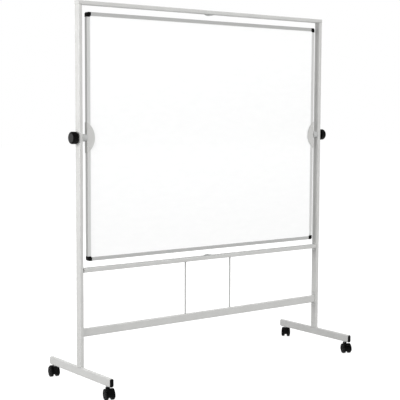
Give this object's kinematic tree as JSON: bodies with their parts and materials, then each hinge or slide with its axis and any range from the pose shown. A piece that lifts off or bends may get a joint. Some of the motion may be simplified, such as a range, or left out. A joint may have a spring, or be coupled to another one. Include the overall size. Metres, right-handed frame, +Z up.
{
  "type": "rolling whiteboard",
  "caption": "Double-sided whiteboard that turns over on side pivots in a wheeled tube frame, held by a clamping knob at each side, with swivelling twin-wheel castors.",
  "frame": {"origin": "on the floor, midway between the two uprights and midway between the front and rear castor stems", "axes": "+X along the board to the right as seen from its front, +Y to the back, +Z up"},
  "size_m": [1.678, 0.6022, 1.874],
  "materials": {
    "frame_paint": "light grey powder coat, satin",
    "board_aluminium": "satin anodised",
    "writing_sheet": "glossy white lacquer",
    "board_core": "chipboard, raw",
    "black_plastic": "moulded, satin",
    "grey_plastic": "moulded, satin",
    "wheel_tread": "moulded wheel, satin",
    "zinc_steel": "bright zinc"
  },
  "bodies": {
    "frame": {"upright_left": "frame_paint", "upright_right": "frame_paint", "top_rail": "frame_paint", "mid_rail": "frame_paint", "low_rail": "frame_paint", "foot_left": "frame_paint", "foot_right": "frame_paint", "foot_plug_front_left": "black_plastic", "foot_plug_rear_left": "black_plastic", "foot_plug_front_right": "black_plastic", "foot_plug_rear_right": "black_plastic", "rod_left": "frame_paint", "rod_right": "frame_paint", "rail_buffer_top": "grey_plastic", "rail_buffer_bottom": "grey_plastic", "pivot_bush_left": "black_plastic", "pivot_bush_right": "black_plastic", "castor_stem_rear_left": "zinc_steel", "castor_stem_front_left": "zinc_steel", "castor_stem_rear_right": "zinc_steel", "castor_stem_front_right": "zinc_steel"},
    "board": {"board_core": "board_core", "sheet_front": "writing_sheet", "sheet_back": "writing_sheet", "profile_top": "board_aluminium", "profile_bottom": "board_aluminium", "profile_left": "board_aluminium", "profile_right": "board_aluminium", "corner_top_left": "black_plastic", "corner_top_right": "black_plastic", "corner_bottom_left": "black_plastic", "corner_bottom_right": "black_plastic", "bracket_left": "frame_paint", "bracket_right": "frame_paint", "pivot_stud_left": "zinc_steel", "pivot_stud_right": "zinc_steel", "pivot_spacer_left": "grey_plastic", "pivot_spacer_right": "grey_plastic"},
    "left_washer": {"knob_washer_left": "zinc_steel"},
    "right_washer": {"knob_washer_right": "zinc_steel"},
    "left_knob": {"knob_left": "black_plastic"},
    "right_knob": {"knob_right": "black_plastic"},
    "castor_rear_left": {"castor_hood_rear_left": "black_plastic", "castor_axle_rear_left": "zinc_steel"},
    "wheel_rear_left_a": {"castor_wheel_rear_left_a": "wheel_tread"},
    "wheel_rear_left_b": {"castor_wheel_rear_left_b": "wheel_tread"},
    "lever_rear_left": {"brake_lever_rear_left": "black_plastic"},
    "castor_front_left": {"castor_hood_front_left": "black_plastic", "castor_axle_front_left": "zinc_steel"},
    "wheel_front_left_a": {"castor_wheel_front_left_a": "wheel_tread"},
    "wheel_front_left_b": {"castor_wheel_front_left_b": "wheel_tread"},
    "castor_rear_right": {"castor_hood_rear_right": "black_plastic", "castor_axle_rear_right": "zinc_steel"},
    "wheel_rear_right_a": {"castor_wheel_rear_right_a": "wheel_tread"},
    "wheel_rear_right_b": {"castor_wheel_rear_right_b": "wheel_tread"},
    "castor_front_right": {"castor_hood_front_right": "black_plastic", "castor_axle_front_right": "zinc_steel"},
    "wheel_front_right_a": {"castor_wheel_front_right_a": "wheel_tread"},
    "wheel_front_right_b": {"castor_wheel_front_right_b": "wheel_tread"},
    "lever_front_right": {"brake_lever_front_right": "black_plastic"}
  },
  "joints": [
    {"name": "board_turn", "type": "hinge", "parent": "frame", "child": "board", "pos_m": [0, 0, 1.222], "axis": [1, 0, 0], "continuous": true},
    {"name": "left_knob_shift", "type": "slide", "parent": "board", "child": "left_washer", "axis": [-1, 0, 0], "range_m": [0, 0.0031]},
    {"name": "left_knob_turn", "type": "hinge", "parent": "left_washer", "child": "left_knob", "pos_m": [-0.82, 0, 1.222], "axis": [-1, 0, 0], "range_deg": [0, 720]},
    {"name": "right_knob_shift", "type": "slide", "parent": "board", "child": "right_washer", "axis": [1, 0, 0], "range_m": [0, 0.0031]},
    {"name": "right_knob_turn", "type": "hinge", "parent": "right_washer", "child": "right_knob", "pos_m": [0.82, 0, 1.222], "axis": [1, 0, 0], "range_deg": [0, 720]},
    {"name": "rear_left_swivel", "type": "hinge", "parent": "frame", "child": "castor_rear_left", "pos_m": [-0.79, 0.247, 0.05], "axis": [0, 0, 1], "continuous": true},
    {"name": "rear_left_wheel_a", "type": "hinge", "parent": "castor_rear_left", "child": "wheel_rear_left_a", "pos_m": [-0.78653, 0.2667, 0.025], "axis": [-0.9848, 0.1736, 0], "continuous": true},
    {"name": "rear_left_wheel_b", "type": "hinge", "parent": "castor_rear_left", "child": "wheel_rear_left_b", "pos_m": [-0.78653, 0.2667, 0.025], "axis": [-0.9848, 0.1736, 0], "continuous": true},
    {"name": "rear_left_brake", "type": "hinge", "parent": "castor_rear_left", "child": "lever_rear_left", "pos_m": [-0.78266, 0.28862, 0.04239], "axis": [-0.9848, 0.1736, 0], "range_deg": [0, 18]},
    {"name": "front_left_swivel", "type": "hinge", "parent": "frame", "child": "castor_front_left", "pos_m": [-0.79, -0.247, 0.05], "axis": [0, 0, 1], "continuous": true},
    {"name": "front_left_wheel_a", "type": "hinge", "parent": "castor_front_left", "child": "wheel_front_left_a", "pos_m": [-0.79484, -0.26641, 0.025], "axis": [0.9703, -0.2419, 0], "continuous": true},
    {"name": "front_left_wheel_b", "type": "hinge", "parent": "castor_front_left", "child": "wheel_front_left_b", "pos_m": [-0.79484, -0.26641, 0.025], "axis": [0.9703, -0.2419, 0], "continuous": true},
    {"name": "rear_right_swivel", "type": "hinge", "parent": "frame", "child": "castor_rear_right", "pos_m": [0.79, 0.247, 0.05], "axis": [0, 0, 1], "continuous": true},
    {"name": "rear_right_wheel_a", "type": "hinge", "parent": "castor_rear_right", "child": "wheel_rear_right_a", "pos_m": [0.80532, 0.25986, 0.025], "axis": [-0.6428, 0.766, 0], "continuous": true},
    {"name": "rear_right_wheel_b", "type": "hinge", "parent": "castor_rear_right", "child": "wheel_rear_right_b", "pos_m": [0.80532, 0.25986, 0.025], "axis": [-0.6428, 0.766, 0], "continuous": true},
    {"name": "front_right_swivel", "type": "hinge", "parent": "frame", "child": "castor_front_right", "pos_m": [0.79, -0.247, 0.05], "axis": [0, 0, 1], "continuous": true},
    {"name": "front_right_wheel_a", "type": "hinge", "parent": "castor_front_right", "child": "wheel_front_right_a", "pos_m": [0.78251, -0.26554, 0.025], "axis": [0.9272, -0.3746, 0], "continuous": true},
    {"name": "front_right_wheel_b", "type": "hinge", "parent": "castor_front_right", "child": "wheel_front_right_b", "pos_m": [0.78251, -0.26554, 0.025], "axis": [0.9272, -0.3746, 0], "continuous": true},
    {"name": "front_right_brake", "type": "hinge", "parent": "castor_front_right", "child": "lever_front_right", "pos_m": [0.77417, -0.28618, 0.04239], "axis": [0.9272, -0.3746, 0], "range_deg": [0, 18]}
  ],
  "couplings": [
    {"joint": "left_knob_shift", "follows": "left_knob_turn", "m_per_rad": 0.00023873},
    {"joint": "right_knob_shift", "follows": "right_knob_turn", "m_per_rad": 0.00023873}
  ]
}
